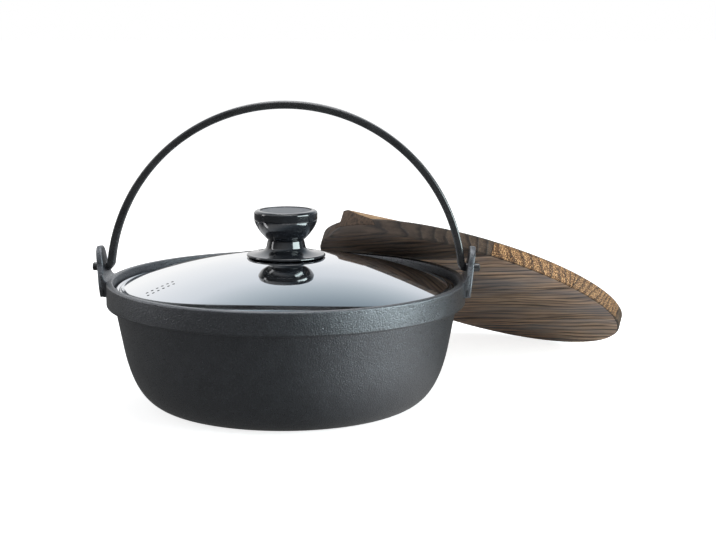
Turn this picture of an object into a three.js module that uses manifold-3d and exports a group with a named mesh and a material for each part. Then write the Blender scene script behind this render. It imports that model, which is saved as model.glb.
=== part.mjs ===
// A cast-iron hot pot with a swinging bail, a domed steel lid that drops into its rim,
// and its plank lid taken off and leaning on the back of the rim.
// Millimetres, +Z up. The origin is the middle of the pot's flat base, and the ears lie along X.

import * as THREE from "three";
import { mergeVertices } from "three/addons/utils/BufferGeometryUtils.js";
import Module from "manifold-3d";

const wasm = await Module();
wasm.setup();

// Pot
const RIM_RADIUS = 130;
const RIM_WALL = 5;
const RIM_ROUNDING = 1.5;
const POT_HEIGHT = 92;
const BAND_HEIGHT = 17;
const BAND_STEP = 6;
const BAND_FILLET = 2;
const WALL = 3.8;
const WALL_TAPER = 5.8;
const SHOULDER_HEIGHT = 45;
const BASE_RADIUS = 80;
const CORNER_RISE = 37.5;
const CORNER_RUN = 16.8;
const FLOOR_THICKNESS = 4.5;
const SEAT_DEPTH = 7.8;
const SEAT_WIDTH = 7.5;

// Ears, cast in one with the pot
const EAR_THICKNESS = 4.4;
const EAR_LEAN = THREE.MathUtils.degToRad(7.35);
const EAR_STANDOFF = 3;
const EAR_DROP = 11;
const EAR_RISE = 23.5;
const EAR_FOOT_WIDTH = 38;
const EAR_TIP_WIDTH = 24;
const EAR_FILLET = 5.5;

// Bail
const PIVOT_RISE = 8.5;
const PEG_RADIUS = 3;
const PEG_PROUD = 5;
const PEG_CHAMFER = 0.6;
const PEG_CLEARANCE = 0.3;
const BAIL_RISE = 120.3;
const BAIL_THICKNESS = 5.4;
const BAIL_DEPTH = 10;
const BAIL_EDGE = 1.4;
const BAIL_CLEARANCE = 1.2;

// Steel lid
const LID_SHEET = 1;
const LID_CLEARANCE = 1.5;
const SEAT_GAP = 0.3;
const FLANGE_WIDTH = 5.5;
const DOME_RISE = 23.5;
const DOME_FULLNESS = 0.3;
const BEAD_INSET = 1.1;
const BEAD_WIDTH = 1.6;
const BEAD_HEIGHT = 0.7;
const HEM_WIDTH = 2.6;
const HEM_HEIGHT = 1;
const STEAM_HOLE_RADIUS = 1;
const STEAM_HOLE_PITCH = 3.9;
const STEAM_HOLES_PER_ROW = 6;
const STEAM_ROW_SPACING = 5.8;
const STEAM_STAGGER = 1.8;
const STEAM_INSET = 18;
const STEAM_DIRECTION = THREE.MathUtils.degToRad(-148.5);

// Knob and its fastening
const KNOB_GAP = 0.3;
const COLLAR_RADIUS = 28.5;
const COLLAR_EDGE = 2.2;
const COLLAR_SLOPE_RADIUS = 20;
const COLLAR_SLOPE_RISE = 1.7;
const COLLAR_NECK_RADIUS = 14.2;
const COLLAR_NECK_RISE = 5;
const COLLAR_TOP_RADIUS = 13.2;
const COLLAR_HEIGHT = 11.3;
const KNOB_FOOT_RADIUS = 13;
const KNOB_FOOT_RUN = 3.4;
const KNOB_FOOT_RISE = 3;
const KNOB_RADIUS = 22.9;
const KNOB_BOWL_HEIGHT = 14.8;
const KNOB_BRIM_DROP = 6.4;
const KNOB_BRIM_INSET = 1.7;
const KNOB_GROOVE = 0.4;
const KNOB_BAND_HEIGHT = 4.6;
const KNOB_CROWN_HEIGHT = 2.2;
const KNOB_CROWN_INSET = 3.2;
const CAP_RADIUS = 18.4;
const CAP_THICKNESS = 1.2;
const CAP_SUNK = 0.4;
const SCREW_RADIUS = 2.5;
const SCREW_HEAD_RADIUS = 4.8;
const SCREW_HEAD_HEIGHT = 2.6;
const SCREW_REACH = 13;
const SCREW_CLEARANCE = 0.4;
const WASHER_RADIUS = 8;
const WASHER_THICKNESS = 1.2;
const INSERT_RADIUS = 5;
const INSERT_LENGTH = 15;

// Plank lid
const WOOD_CLEARANCE = 0.7;
const WOOD_THICKNESS = 12;
const WOOD_CHAMFER = 1.2;
const PLANK_WIDTH = 67;
const PLANK_GAP = 0.3;
const BATTEN_WIDTH = 40;
const BATTEN_PROUD = 8.5;
const BATTEN_HOUSING = 5;
const BATTEN_FLARE = 6;
const BATTEN_NOSE = 7.3;
const BEVEL_TILT = THREE.MathUtils.degToRad(23);
const BEVEL_TURN = THREE.MathUtils.degToRad(130);
const DOWEL_RADIUS = 3;
const DOWEL_LENGTH = 36;
const DOWEL_INSET = 53.5;
const LEAN_ANGLE = THREE.MathUtils.degToRad(28.2);
const LEAN_DIRECTION = THREE.MathUtils.degToRad(54.7);
const LEAN_SHIFT = 33.3;
const GRAIN_ANGLE = THREE.MathUtils.degToRad(70);

// Facets round each revolved piece
const POT_FACETS = 52;
const KNOB_FACETS = 32;
const SMALL_FACETS = 20;
const HOLE_FACETS = 8;

// Places that more than one piece uses
const RIM_INNER = RIM_RADIUS - RIM_WALL;
const BAND_BOTTOM = POT_HEIGHT - BAND_HEIGHT;
const BODY_RADIUS = RIM_RADIUS - BAND_STEP;
const SHOULDER_RADIUS = BODY_RADIUS - WALL_TAPER;
const SEAT_HEIGHT = POT_HEIGHT - SEAT_DEPTH;
const SEAT_INNER = RIM_INNER - SEAT_WIDTH;
const PIVOT_HEIGHT = POT_HEIGHT + PIVOT_RISE;
const EAR_FOOT_HEIGHT = POT_HEIGHT - EAR_DROP;
const LID_RADIUS = RIM_INNER - LID_CLEARANCE;
const DOME_RADIUS = LID_RADIUS - FLANGE_WIDTH;
const FLANGE_BOTTOM = SEAT_HEIGHT + SEAT_GAP;
const FLANGE_TOP = FLANGE_BOTTOM + LID_SHEET;
const LID_APEX = FLANGE_TOP + DOME_RISE;
const KNOB_FOOT = LID_APEX + COLLAR_HEIGHT + KNOB_GAP;
const WOOD_RADIUS = RIM_INNER - WOOD_CLEARANCE;

// Profile points are a radius and a height
const at = (radius, height) => new THREE.Vector2(radius, height);

// Points along a rounded corner, both ends included
function corner(start, tip, end, steps) {
  return new THREE.QuadraticBezierCurve(start, tip, end).getPoints(steps);
}

// A solid of revolution about +Z
function turned(profile, facets) {
  return new THREE.LatheGeometry(profile, facets).rotateX(Math.PI / 2);
}

// A plain round bar standing on z = 0
function bar(radius, length, facets) {
  return turned([at(0, 0), at(radius, 0), at(radius, length), at(0, length)], facets);
}

// A flat outline pushed along its own normal
function pushed(outline, depth) {
  return new THREE.ExtrudeGeometry(new THREE.Shape(outline), { depth, bevelEnabled: false });
}

// Stands an outline drawn in width and height upright, with its depth along the third axis
function stood(geometry, width, height, depth) {
  return geometry.applyMatrix4(new THREE.Matrix4().makeBasis(width, height, depth));
}

const X = new THREE.Vector3(1, 0, 0);
const Y = new THREE.Vector3(0, 1, 0);
const Z = new THREE.Vector3(0, 0, 1);

// Closed geometry to a solid that can be joined and cut
function solid(geometry) {
  const bare = geometry.clone();
  bare.deleteAttribute("normal");
  bare.deleteAttribute("uv");
  const merged = mergeVertices(bare);
  return new wasm.Manifold(new wasm.Mesh({
    numProp: 3,
    vertProperties: new Float32Array(merged.attributes.position.array),
    triVerts: new Uint32Array(merged.index.array),
  }));
}

// A joined or cut solid back to geometry
function surface(body) {
  const { vertProperties, triVerts } = body.getMesh();
  const geometry = new THREE.BufferGeometry();
  geometry.setAttribute("position", new THREE.BufferAttribute(vertProperties, 3));
  geometry.setIndex(new THREE.BufferAttribute(triVerts, 1));
  return geometry;
}

const joined = (bodies) => bodies.reduce((sum, body) => sum.add(body));
const cut = (body, tools) => tools.reduce((rest, tool) => rest.subtract(tool), body);

const materials = {
  iron: new THREE.MeshStandardMaterial({ color: 0x3f4446, roughness: 0.75, metalness: 0.4 }),
  bail: new THREE.MeshStandardMaterial({ color: 0x2a2a2c, roughness: 0.45, metalness: 0.3 }),
  steel: new THREE.MeshStandardMaterial({ color: 0xd5d7d9, roughness: 0.06, metalness: 1 }),
  phenolic: new THREE.MeshStandardMaterial({ color: 0x141517, roughness: 0.15, metalness: 0 }),
  cap: new THREE.MeshStandardMaterial({ color: 0x8c8e90, roughness: 0.4, metalness: 0.7 }),
  brass: new THREE.MeshStandardMaterial({ color: 0xb08d4a, roughness: 0.35, metalness: 1 }),
  cedar: new THREE.MeshStandardMaterial({ color: 0x77685c, roughness: 0.8, metalness: 0 }),
  batten: new THREE.MeshStandardMaterial({ color: 0xb08a5c, roughness: 0.8, metalness: 0 }),
};

function piece(name, geometry, material) {
  const mesh = new THREE.Mesh(geometry, material);
  mesh.name = name;
  return mesh;
}

// Pot: one revolved wall with a thicker rim band, and a ledge inside the rim for either lid
function potWall() {
  const taper = Math.atan2(WALL_TAPER, BAND_BOTTOM - SHOULDER_HEIGHT);
  const innerShare = (SHOULDER_HEIGHT - FLOOR_THICKNESS) / SHOULDER_HEIGHT;
  const side = (radius, rise) => at(
    radius - rise * Math.sin(taper),
    SHOULDER_HEIGHT - rise * Math.cos(taper),
  );
  const outerCorner = new THREE.CubicBezierCurve(
    at(BASE_RADIUS, 0),
    at(BASE_RADIUS + CORNER_RUN, 0),
    side(SHOULDER_RADIUS, CORNER_RISE),
    at(SHOULDER_RADIUS, SHOULDER_HEIGHT),
  );
  const innerShoulder = SHOULDER_RADIUS - WALL;
  const innerBase = BASE_RADIUS - WALL / 2;
  const innerCorner = new THREE.CubicBezierCurve(
    at(innerShoulder, SHOULDER_HEIGHT),
    side(innerShoulder, CORNER_RISE * innerShare),
    at(innerBase + CORNER_RUN, FLOOR_THICKNESS),
    at(innerBase, FLOOR_THICKNESS),
  );
  const filletDrop = BAND_FILLET * Math.tan(taper);
  return turned([
    at(0, 0),
    ...outerCorner.getPoints(7),
    ...corner(
      at(BODY_RADIUS - filletDrop, BAND_BOTTOM - BAND_FILLET),
      at(BODY_RADIUS, BAND_BOTTOM),
      at(BODY_RADIUS + BAND_FILLET, BAND_BOTTOM),
      2,
    ),
    ...corner(
      at(RIM_RADIUS - RIM_ROUNDING, BAND_BOTTOM),
      at(RIM_RADIUS, BAND_BOTTOM),
      at(RIM_RADIUS, BAND_BOTTOM + RIM_ROUNDING),
      2,
    ),
    ...corner(
      at(RIM_RADIUS, POT_HEIGHT - RIM_ROUNDING),
      at(RIM_RADIUS, POT_HEIGHT),
      at(RIM_RADIUS - RIM_ROUNDING, POT_HEIGHT),
      3,
    ),
    ...corner(
      at(RIM_INNER + RIM_ROUNDING, POT_HEIGHT),
      at(RIM_INNER, POT_HEIGHT),
      at(RIM_INNER, POT_HEIGHT - RIM_ROUNDING),
      2,
    ),
    at(RIM_INNER, SEAT_HEIGHT),
    at(SEAT_INNER, SEAT_HEIGHT),
    ...innerCorner.getPoints(7),
    at(0, FLOOR_THICKNESS),
  ], POT_FACETS);
}

// Distance of an ear's outer face from the pot's axis
function earFace(height) {
  return RIM_RADIUS + EAR_STANDOFF + (height - EAR_FOOT_HEIGHT) * Math.tan(EAR_LEAN);
}

// Ear at +X: a leaning tongue with a round tip, filleted onto the rim by a solid foot
function ear() {
  const tipRadius = EAR_TIP_WIDTH / 2;
  const footHalf = EAR_FOOT_WIDTH / 2;
  const length = (EAR_DROP + EAR_RISE) / Math.cos(EAR_LEAN);
  const rimLine = EAR_DROP / Math.cos(EAR_LEAN);
  const tongue = new THREE.Shape();
  tongue.moveTo(-footHalf, 0);
  tongue.lineTo(footHalf, 0);
  tongue.lineTo(footHalf, rimLine / 2);
  tongue.quadraticCurveTo(footHalf, rimLine, tipRadius, length - tipRadius);
  tongue.absarc(0, length - tipRadius, tipRadius, 0, Math.PI, false);
  tongue.quadraticCurveTo(-footHalf, rimLine, -footHalf, rimLine / 2);
  tongue.closePath();
  const plate = new THREE.ExtrudeGeometry(tongue, {
    depth: EAR_THICKNESS,
    bevelEnabled: false,
    curveSegments: 7,
  });
  stood(plate.translate(0, 0, -EAR_THICKNESS), Y, Z, X);
  plate.rotateY(EAR_LEAN).translate(earFace(EAR_FOOT_HEIGHT), 0, EAR_FOOT_HEIGHT);

  const middle = (height) => earFace(height) - EAR_THICKNESS / 2;
  const inner = (height) => earFace(height) - EAR_THICKNESS / Math.cos(EAR_LEAN);
  const inside = RIM_INNER + RIM_ROUNDING;
  const filletTop = POT_HEIGHT + EAR_FILLET;
  const foot = pushed([
    at(inside, EAR_FOOT_HEIGHT),
    at(middle(EAR_FOOT_HEIGHT), EAR_FOOT_HEIGHT),
    at(middle(filletTop), filletTop),
    ...corner(
      at(inner(filletTop), filletTop),
      at(inner(POT_HEIGHT), POT_HEIGHT),
      at(inside, POT_HEIGHT),
      4,
    ),
  ], EAR_FOOT_WIDTH);
  stood(foot.translate(0, 0, -EAR_FOOT_WIDTH / 2), X, Z, Y.clone().negate());
  return solid(plate).add(solid(foot));
}

function pot() {
  const right = ear();
  const left = right.rotate([0, 0, 180]);
  const reach = earFace(POT_HEIGHT + EAR_RISE);
  const pegHole = bar(PEG_RADIUS + PEG_CLEARANCE, reach, SMALL_FACETS);
  pegHole.rotateY(Math.PI / 2).translate(RIM_INNER - RIM_WALL, 0, PIVOT_HEIGHT);
  const drilled = solid(pegHole);
  const body = joined([solid(potWall()), right, left]);
  return surface(cut(body, [drilled, drilled.rotate([0, 0, 180])]));
}

// Bail: a flat bar bent to an arch, with its ends turned out into pegs through the ears
const LEG_REACH = earFace(PIVOT_HEIGHT) - EAR_THICKNESS / Math.cos(EAR_LEAN)
  - BAIL_CLEARANCE - BAIL_THICKNESS / 2;
const ARCH_RISE = BAIL_RISE - BAIL_THICKNESS / 2;
const ARCH_RADIUS = (LEG_REACH ** 2 + ARCH_RISE ** 2) / (2 * ARCH_RISE);

class Arch extends THREE.Curve {
  getPoint(share, target = new THREE.Vector3()) {
    const centre = ARCH_RISE - ARCH_RADIUS;
    const end = Math.atan2(-centre, LEG_REACH);
    const angle = THREE.MathUtils.lerp(end, Math.PI - end, share);
    return target.set(
      ARCH_RADIUS * Math.cos(angle),
      0,
      PIVOT_HEIGHT + centre + ARCH_RADIUS * Math.sin(angle),
    );
  }
}

function bail() {
  const halfDepth = BAIL_DEPTH / 2;
  const halfThick = BAIL_THICKNESS / 2;
  const section = [
    at(halfDepth - BAIL_EDGE, -halfThick),
    at(halfDepth, BAIL_EDGE - halfThick),
    at(halfDepth, halfThick - BAIL_EDGE),
    at(halfDepth - BAIL_EDGE, halfThick),
    at(BAIL_EDGE - halfDepth, halfThick),
    at(-halfDepth, halfThick - BAIL_EDGE),
    at(-halfDepth, BAIL_EDGE - halfThick),
    at(BAIL_EDGE - halfDepth, -halfThick),
  ];
  const arch = new THREE.ExtrudeGeometry(new THREE.Shape(section), {
    steps: 40,
    bevelEnabled: false,
    extrudePath: new Arch(),
  });
  const pegLength = earFace(PIVOT_HEIGHT) + PEG_PROUD - LEG_REACH;
  const peg = turned([
    at(0, 0),
    at(PEG_RADIUS, 0),
    at(PEG_RADIUS, pegLength - PEG_CHAMFER),
    at(PEG_RADIUS - PEG_CHAMFER, pegLength),
    at(0, pegLength),
  ], SMALL_FACETS);
  peg.rotateY(Math.PI / 2).translate(LEG_REACH, 0, PIVOT_HEIGHT);
  const bend = turned([
    at(0, -halfDepth),
    at(halfThick - BAIL_EDGE / 2, -halfDepth),
    at(halfThick, BAIL_EDGE - halfDepth),
    at(halfThick, halfDepth - BAIL_EDGE),
    at(halfThick - BAIL_EDGE / 2, halfDepth),
    at(0, halfDepth),
  ], SMALL_FACETS);
  bend.rotateX(Math.PI / 2).translate(LEG_REACH, 0, PIVOT_HEIGHT);
  const end = solid(peg).add(solid(bend));
  return surface(joined([solid(arch), end, end.rotate([0, 0, 180])]));
}

// Height of the dome's outer skin at a radius: a flat crown that steepens toward the flange
function dome(radius) {
  const share = (radius / DOME_RADIUS) ** 2;
  return LID_APEX - DOME_RISE * share * (1 - DOME_FULLNESS + DOME_FULLNESS * share);
}

// Evenly spaced radii from one to another, both included
function radii(from, to, steps) {
  return Array.from({ length: steps + 1 }, (_, step) => THREE.MathUtils.lerp(from, to, step / steps));
}

// Steel lid: a pressed dome with a bead and a rolled hem, drilled for the knob and for steam
function lid() {
  const hole = SCREW_RADIUS + SCREW_CLEARANCE;
  const bead = DOME_RADIUS + BEAD_INSET;
  const hem = LID_RADIUS - HEM_WIDTH;
  const skin = radii(hole, DOME_RADIUS, 8);
  const shell = turned([
    ...skin.map((radius) => at(radius, dome(radius) - LID_SHEET)),
    at(DOME_RADIUS + LID_SHEET, FLANGE_BOTTOM),
    at(LID_RADIUS - HEM_HEIGHT / 2, FLANGE_BOTTOM),
    ...corner(
      at(LID_RADIUS, FLANGE_TOP - LID_SHEET / 2),
      at(LID_RADIUS, FLANGE_TOP + HEM_HEIGHT),
      at(LID_RADIUS - HEM_WIDTH / 2, FLANGE_TOP + HEM_HEIGHT),
      2,
    ),
    at(hem, FLANGE_TOP),
    ...corner(
      at(bead + BEAD_WIDTH, FLANGE_TOP),
      at(bead + BEAD_WIDTH / 2, FLANGE_TOP + 2 * BEAD_HEIGHT),
      at(bead, FLANGE_TOP),
      4,
    ),
    at(DOME_RADIUS + LID_SHEET, FLANGE_TOP),
    ...skin.reverse().map((radius) => at(radius, dome(radius))),
    at(hole, dome(hole) - LID_SHEET),
  ], POT_FACETS);
  return surface(cut(solid(shell), steamHoles()));
}

// Two radial rows of small holes near the front left of the dome, one row set further out
function steamHoles() {
  const drill = bar(STEAM_HOLE_RADIUS, DOME_RISE + LID_SHEET, HOLE_FACETS);
  const middle = (STEAM_HOLES_PER_ROW - 1) / 2;
  const holes = [];
  for (const row of [-1, 1]) {
    for (let step = 0; step < STEAM_HOLES_PER_ROW; step += 1) {
      const along = (step - middle) * STEAM_HOLE_PITCH + row * STEAM_STAGGER / 2;
      const radius = DOME_RADIUS - STEAM_INSET + along;
      const hole = drill.clone().translate(radius, row * STEAM_ROW_SPACING / 2, FLANGE_TOP);
      holes.push(solid(hole.rotateZ(STEAM_DIRECTION)));
    }
  }
  return holes;
}

// Knob collar: a wide foot that follows the dome, sloping up to a short neck
function knobCollar() {
  const hole = SCREW_RADIUS + SCREW_CLEARANCE;
  const seat = radii(hole, COLLAR_RADIUS - COLLAR_EDGE / 2, 4);
  const edge = dome(COLLAR_RADIUS) + KNOB_GAP;
  return turned([
    ...seat.map((radius) => at(radius, dome(radius) + KNOB_GAP)),
    ...corner(
      at(COLLAR_RADIUS, edge + COLLAR_EDGE / 3),
      at(COLLAR_RADIUS, edge + COLLAR_EDGE),
      at(COLLAR_RADIUS - COLLAR_EDGE / 2, edge + COLLAR_EDGE),
      3,
    ),
    ...corner(
      at(COLLAR_RADIUS - COLLAR_EDGE, edge + COLLAR_EDGE),
      at(COLLAR_SLOPE_RADIUS, edge + COLLAR_EDGE + COLLAR_SLOPE_RISE),
      at(COLLAR_NECK_RADIUS, edge + COLLAR_EDGE + COLLAR_NECK_RISE),
      4,
    ),
    at(COLLAR_TOP_RADIUS, LID_APEX + COLLAR_HEIGHT),
    at(hole, LID_APEX + COLLAR_HEIGHT),
    at(hole, dome(hole) + KNOB_GAP),
  ], KNOB_FACETS);
}

// Heights up the knob, from its foot on the collar to its crown
const KNOB_BOWL_TOP = KNOB_FOOT + KNOB_BOWL_HEIGHT;
const KNOB_BAND_TOP = KNOB_BOWL_TOP + KNOB_BAND_HEIGHT;
const KNOB_TOP = KNOB_BAND_TOP + KNOB_CROWN_HEIGHT;
const CAP_BOTTOM = KNOB_TOP - CAP_SUNK - CAP_THICKNESS;

// Knob: a bowl-shaped grip with a blind bore below for the insert and a sunk top for the cap
function knobBody() {
  const bore = INSERT_RADIUS + KNOB_GAP;
  const boreTop = KNOB_FOOT + INSERT_LENGTH + KNOB_GAP;
  const recess = CAP_RADIUS + KNOB_GAP;
  const recessFloor = CAP_BOTTOM - KNOB_GAP;
  return turned([
    at(0, boreTop),
    at(bore, boreTop),
    at(bore, KNOB_FOOT),
    ...new THREE.CubicBezierCurve(
      at(KNOB_FOOT_RADIUS, KNOB_FOOT),
      at(KNOB_FOOT_RADIUS + KNOB_FOOT_RUN, KNOB_FOOT + KNOB_FOOT_RISE),
      at(KNOB_RADIUS - KNOB_BRIM_INSET, KNOB_BOWL_TOP - KNOB_BRIM_DROP),
      at(KNOB_RADIUS, KNOB_BOWL_TOP - KNOB_GROOVE),
    ).getPoints(7),
    at(KNOB_RADIUS - KNOB_GROOVE, KNOB_BOWL_TOP),
    at(KNOB_RADIUS, KNOB_BOWL_TOP + KNOB_GROOVE),
    ...corner(
      at(KNOB_RADIUS, KNOB_BAND_TOP),
      at(KNOB_RADIUS, KNOB_TOP),
      at(KNOB_RADIUS - KNOB_CROWN_INSET, KNOB_TOP),
      4,
    ),
    at(recess, KNOB_TOP),
    at(recess, recessFloor),
    at(0, recessFloor),
  ], KNOB_FACETS);
}

function knobCap() {
  return bar(CAP_RADIUS, CAP_THICKNESS, KNOB_FACETS).translate(0, 0, CAP_BOTTOM);
}

// A round tube between two heights
function tube(outer, inner, bottom, top) {
  return turned([
    at(inner, bottom),
    at(outer, bottom),
    at(outer, top),
    at(inner, top),
    at(inner, bottom),
  ], SMALL_FACETS);
}

// Height of the washer's upper face, which meets the dome's inner skin at its own edge
const WASHER_TOP = dome(WASHER_RADIUS) - LID_SHEET - KNOB_GAP;
const WASHER_BOTTOM = WASHER_TOP - WASHER_THICKNESS;

function knobWasher() {
  return tube(WASHER_RADIUS, SCREW_RADIUS + SCREW_CLEARANCE, WASHER_BOTTOM, WASHER_TOP);
}

function knobInsert() {
  return tube(INSERT_RADIUS, SCREW_RADIUS + SCREW_CLEARANCE, KNOB_FOOT, KNOB_FOOT + INSERT_LENGTH);
}

// Screw: a pan head under the lid and a shank up into the insert
function knobScrew() {
  const underHead = WASHER_BOTTOM - KNOB_GAP;
  const headBottom = underHead - SCREW_HEAD_HEIGHT;
  const tip = KNOB_FOOT + SCREW_REACH;
  return turned([
    at(0, headBottom),
    ...corner(
      at(SCREW_HEAD_RADIUS / 2, headBottom),
      at(SCREW_HEAD_RADIUS, headBottom),
      at(SCREW_HEAD_RADIUS, underHead),
      3,
    ),
    at(SCREW_RADIUS, underHead),
    at(SCREW_RADIUS, tip - SCREW_RADIUS / 2),
    at(SCREW_RADIUS / 2, tip),
    at(0, tip),
  ], SMALL_FACETS);
}

// Plank lid, drawn lying flat: underside on z = 0, grain along X, batten along Y on top

// The joint lines between the planks, counted from the middle of the lid
const PLANK_JOINTS = [-PLANK_WIDTH, 0, PLANK_WIDTH];

function woodDisc() {
  const edge = WOOD_RADIUS - WOOD_CHAMFER;
  return turned([
    at(0, 0),
    at(edge, 0),
    at(WOOD_RADIUS, WOOD_CHAMFER),
    at(WOOD_RADIUS, WOOD_THICKNESS - WOOD_CHAMFER),
    at(edge, WOOD_THICKNESS),
    at(0, WOOD_THICKNESS),
  ], POT_FACETS);
}

// The batten's dovetail and grip in section, swept across the lid, with room round it
function battenBar(length, room) {
  const neck = BATTEN_WIDTH / 2 + room;
  const root = neck + BATTEN_FLARE + room;
  const bottom = WOOD_THICKNESS - BATTEN_HOUSING - room;
  const top = WOOD_THICKNESS + BATTEN_PROUD;
  const sweep = pushed([
    at(-root, bottom),
    at(root, bottom),
    at(neck, WOOD_THICKNESS),
    at(neck, top),
    at(-neck, top),
    at(-neck, WOOD_THICKNESS),
  ], length);
  return stood(sweep.translate(0, 0, -length / 2), X, Z, Y.clone().negate());
}

// Batten: flush with the lid's edge, with a slanting cut that takes one corner off the top of each end
function batten() {
  const top = WOOD_THICKNESS + BATTEN_PROUD;
  const nose = BATTEN_WIDTH / 2 - BATTEN_NOSE;
  const tip = new THREE.Vector3(nose, Math.sqrt(WOOD_RADIUS ** 2 - nose ** 2), top);
  const kept = new THREE.Vector3(
    -Math.sin(BEVEL_TILT) * Math.cos(BEVEL_TURN),
    -Math.sin(BEVEL_TILT) * Math.sin(BEVEL_TURN),
    -Math.cos(BEVEL_TILT),
  );
  const slice = (body) => body.trimByPlane(kept.toArray(), kept.dot(tip));
  const reach = solid(bar(WOOD_RADIUS, top, POT_FACETS));
  const whole = solid(battenBar(2 * WOOD_RADIUS, 0)).intersect(reach);
  return surface(slice(slice(whole).rotate([0, 0, 180])));
}

// A dowel lying across a plank joint, or the hole for it
function dowel(joint, side, room) {
  const length = DOWEL_LENGTH + 2 * room;
  const pin = bar(DOWEL_RADIUS + room, length, SMALL_FACETS).translate(0, 0, -length / 2);
  const along = side * (WOOD_RADIUS - DOWEL_INSET);
  return pin.rotateX(Math.PI / 2).translate(along, joint, WOOD_THICKNESS / 2);
}

const DOWEL_PLACES = PLANK_JOINTS.flatMap((joint) => [-1, 1].map((side) => ({ joint, side })));

function planks() {
  const disc = solid(woodDisc());
  const housing = solid(battenBar(2 * (WOOD_RADIUS + PLANK_GAP), PLANK_GAP));
  const holes = DOWEL_PLACES.map(({ joint, side }) => solid(dowel(joint, side, PLANK_GAP)));
  const edges = [-WOOD_RADIUS - PLANK_GAP, ...PLANK_JOINTS, WOOD_RADIUS + PLANK_GAP];
  return edges.slice(1).map((high, index) => {
    const low = edges[index];
    const width = high - low - PLANK_GAP;
    const strip = new THREE.BoxGeometry(2 * WOOD_RADIUS + PLANK_GAP, width, 2 * WOOD_THICKNESS);
    strip.translate(0, (low + high) / 2, WOOD_THICKNESS / 2);
    return surface(cut(disc.intersect(solid(strip)), [housing, ...holes]));
  });
}

// The plank lid leans on the rim's rounded outer edge with its low edge on the table
function woodLid() {
  const flat = new THREE.Group();
  planks().forEach((plank, index) => flat.add(piece(`wood_plank_${index + 1}`, plank, materials.cedar)));
  flat.add(piece("wood_batten", batten(), materials.batten));
  DOWEL_PLACES.forEach(({ joint, side }, index) => {
    flat.add(piece(`wood_dowel_${index + 1}`, dowel(joint, side, 0), materials.batten));
  });
  flat.rotation.z = GRAIN_ANGLE;

  const slope = new THREE.Group();
  slope.add(flat);
  slope.rotation.y = LEAN_ANGLE;
  const contact = (RIM_RADIUS - RIM_ROUNDING) * Math.sin(LEAN_ANGLE)
    + (POT_HEIGHT - RIM_ROUNDING) * Math.cos(LEAN_ANGLE) + RIM_ROUNDING + PLANK_GAP;
  const lowEdge = WOOD_RADIUS - WOOD_CHAMFER;
  slope.position.set(
    contact / Math.sin(LEAN_ANGLE) - lowEdge * Math.cos(LEAN_ANGLE),
    -LEAN_SHIFT,
    lowEdge * Math.sin(LEAN_ANGLE),
  );

  const leaning = new THREE.Group();
  leaning.add(slope);
  leaning.rotation.z = LEAN_DIRECTION;
  return leaning;
}

const nabe = new THREE.Group();
nabe.add(
  piece("pot_body", pot(), materials.iron),
  piece("bail_handle", bail(), materials.bail),
  piece("lid_shell", lid(), materials.steel),
  piece("knob_collar", knobCollar(), materials.phenolic),
  piece("knob_body", knobBody(), materials.phenolic),
  piece("knob_cap", knobCap(), materials.cap),
  piece("knob_insert", knobInsert(), materials.brass),
  piece("knob_washer", knobWasher(), materials.steel),
  piece("knob_screw", knobScrew(), materials.steel),
  woodLid(),
);

export default nabe;
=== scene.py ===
"""Looks for a cast-iron hot pot with a bail, a domed steel lid and a plank lid that leans on its rim.

The scene is in metres. The object's dimensions are in millimetres and are turned into metres on the way in.
"""
import math
from collections import namedtuple

import bmesh
import bpy
from mathutils import Matrix, Vector


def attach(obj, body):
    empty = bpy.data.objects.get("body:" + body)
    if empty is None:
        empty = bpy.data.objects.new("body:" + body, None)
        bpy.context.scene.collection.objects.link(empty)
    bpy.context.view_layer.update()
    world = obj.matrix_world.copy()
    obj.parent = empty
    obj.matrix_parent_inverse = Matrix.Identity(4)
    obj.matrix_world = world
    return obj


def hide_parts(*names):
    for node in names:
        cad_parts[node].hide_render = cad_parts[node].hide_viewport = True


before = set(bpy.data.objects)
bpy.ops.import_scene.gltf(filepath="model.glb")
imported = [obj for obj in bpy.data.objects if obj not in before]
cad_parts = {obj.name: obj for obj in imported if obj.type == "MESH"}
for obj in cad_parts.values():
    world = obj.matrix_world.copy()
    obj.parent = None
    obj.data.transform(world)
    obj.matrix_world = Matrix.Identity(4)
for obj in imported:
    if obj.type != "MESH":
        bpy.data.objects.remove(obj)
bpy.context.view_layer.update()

MM = 0.001

# Pot
RIM_RADIUS = 130
RIM_WALL = 5
RIM_ROUNDING = 1.5
POT_HEIGHT = 92
BAND_HEIGHT = 17
BAND_STEP = 6
BAND_FILLET = 2
WALL = 3.8
WALL_TAPER = 5.8
SHOULDER_HEIGHT = 45
BASE_RADIUS = 80
CORNER_RISE = 37.5
CORNER_RUN = 16.8
FLOOR_THICKNESS = 4.5
SEAT_DEPTH = 7.8
SEAT_WIDTH = 7.5

# Ears
EAR_THICKNESS = 4.4
EAR_LEAN = math.radians(7.35)
EAR_STANDOFF = 3
EAR_DROP = 11
EAR_RISE = 23.5
EAR_FOOT_WIDTH = 38
EAR_TIP_WIDTH = 24
EAR_FILLET = 5.5
EAR_EDGE = 0.9
EAR_EDGE_STEPS = 4

# Bail
PIVOT_RISE = 8.5
PEG_RADIUS = 3
PEG_PROUD = 5
PEG_CHAMFER = 0.6
PEG_CLEARANCE = 0.3
BAIL_RISE = 120.3
BAIL_THICKNESS = 5.4
BAIL_DEPTH = 10
BAIL_EDGE = 1.4
BAIL_CLEARANCE = 1.2
BEND_RADIUS = 4
BEND_FLAT_SHARE = 0.6

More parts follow.
